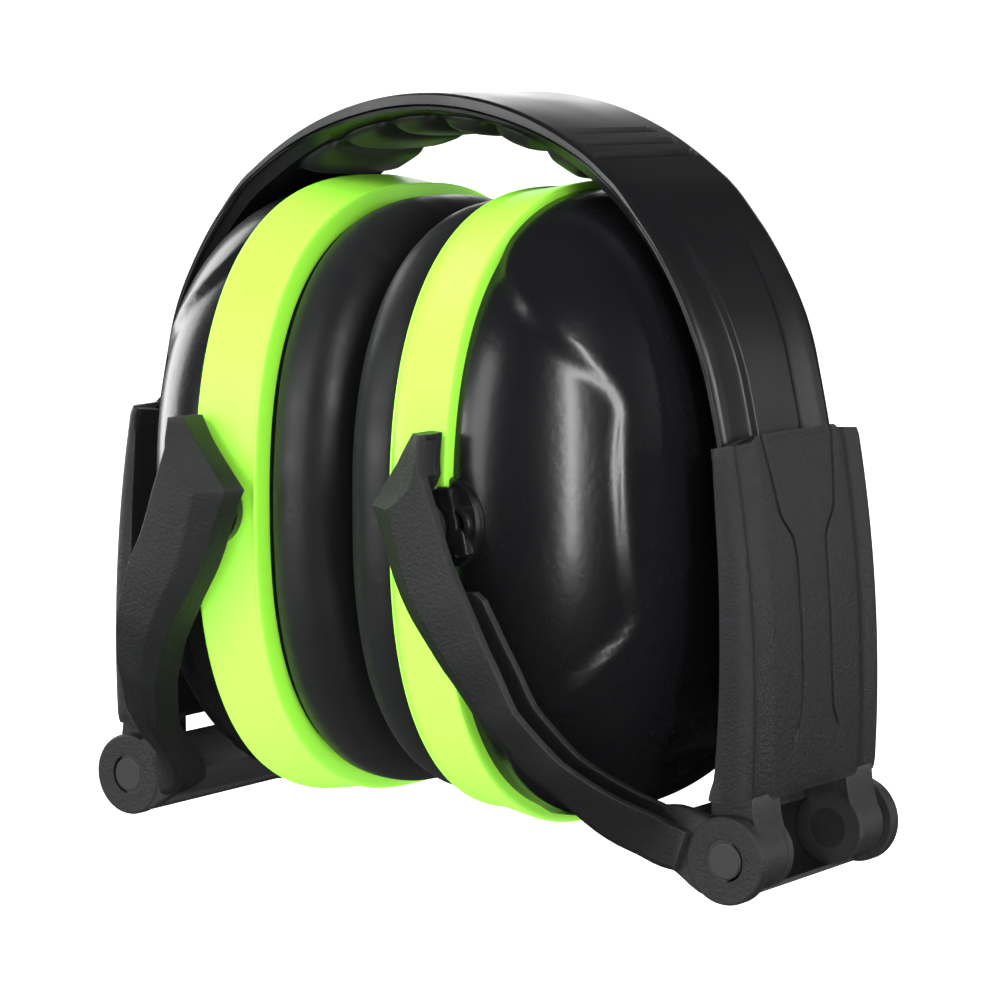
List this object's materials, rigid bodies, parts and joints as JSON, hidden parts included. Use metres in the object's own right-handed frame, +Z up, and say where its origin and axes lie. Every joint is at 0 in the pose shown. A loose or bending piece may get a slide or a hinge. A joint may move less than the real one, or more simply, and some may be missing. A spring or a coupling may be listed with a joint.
{
  "type": "earmuff hearing protector",
  "caption": "Folding earmuff hearing protector: a moulded headband with sliding sleeves, hinged forks and tilting cups with soft cushions, shown folded.",
  "frame": {"origin": "on the ground, midway between the four hinge ears that it stands on", "axes": "+X towards the wearer's right-hand cup in the view from the front, +Z up towards the crown, Y across the headband"},
  "size_m": [0.125, 0.096, 0.1146],
  "materials": {
    "band_black": "satin",
    "pad_black": "soft matt",
    "sleeve_black": "fine texture",
    "fork_black": "fine texture",
    "pin_black": "satin",
    "clip_black": "gloss",
    "lime": "satin",
    "shell_black": "gloss with fine orange peel",
    "plate_black": "satin",
    "vinyl": "smooth soft vinyl",
    "foam": "open-cell foam"
  },
  "bodies": {
    "band": {"headband": "band_black", "crown_pad": "pad_black"},
    "slider_left": {"sleeve_left": "sleeve_black", "detent_left": "sleeve_black"},
    "yoke_left": {"fork_left": "fork_black", "hinge_pins_left": "pin_black", "pivot_studs_left": "fork_black"},
    "cup_left": {"pivot_clips_left": "clip_black", "cup_ring_left": "lime", "cup_shell_left": "shell_black", "seal_plate_left": "plate_black", "cushion_left": "vinyl", "cushion_foam_left": "foam", "absorber_left": "foam"},
    "slider_right": {"sleeve_right": "sleeve_black", "detent_right": "sleeve_black"},
    "yoke_right": {"fork_right": "fork_black", "hinge_pins_right": "pin_black", "pivot_studs_right": "fork_black"},
    "cup_right": {"pivot_clips_right": "clip_black", "cup_ring_right": "lime", "cup_shell_right": "shell_black", "seal_plate_right": "plate_black", "cushion_right": "vinyl", "cushion_foam_right": "foam", "absorber_right": "foam"}
  },
  "joints": [
    {"name": "adjust_left", "type": "hinge", "parent": "band", "child": "slider_left", "pos_m": [0.14322, 0, 0.02599], "axis": [0, -1, 0], "range_deg": [0, 7.2], "deforming": ["cushion_left", "cushion_right", "cushion_foam_left", "cushion_foam_right"]},
    {"name": "fold_left", "type": "hinge", "parent": "slider_left", "child": "yoke_left", "pos_m": [-0.056, 0, 0.0063], "axis": [0, 1, 0], "range_deg": [0, 142], "deforming": ["cushion_left", "cushion_right", "cushion_foam_left", "cushion_foam_right"]},
    {"name": "tilt_left", "type": "hinge", "parent": "yoke_left", "child": "cup_left", "pos_m": [-0.02, 0, 0.0538], "axis": [0, 1, 0], "range_deg": [-143, 0], "deforming": ["cushion_left", "cushion_right", "cushion_foam_left", "cushion_foam_right"]},
    {"name": "adjust_right", "type": "hinge", "parent": "band", "child": "slider_right", "pos_m": [-0.14322, 0, 0.02599], "axis": [0, 1, 0], "range_deg": [0, 7.2], "deforming": ["cushion_left", "cushion_right", "cushion_foam_left", "cushion_foam_right"]},
    {"name": "fold_right", "type": "hinge", "parent": "slider_right", "child": "yoke_right", "pos_m": [0.056, 0, 0.0063], "axis": [0, -1, 0], "range_deg": [0, 142], "deforming": ["cushion_left", "cushion_right", "cushion_foam_left", "cushion_foam_right"]},
    {"name": "tilt_right", "type": "hinge", "parent": "yoke_right", "child": "cup_right", "pos_m": [0.02, 0, 0.0538], "axis": [0, -1, 0], "range_deg": [-143, 0], "deforming": ["cushion_left", "cushion_right", "cushion_foam_left", "cushion_foam_right"]}
  ],
  "couplings": [
    {"joint": "tilt_left", "follows": "fold_left", "ratio": -1},
    {"joint": "tilt_right", "follows": "fold_right", "ratio": -1}
  ]
}
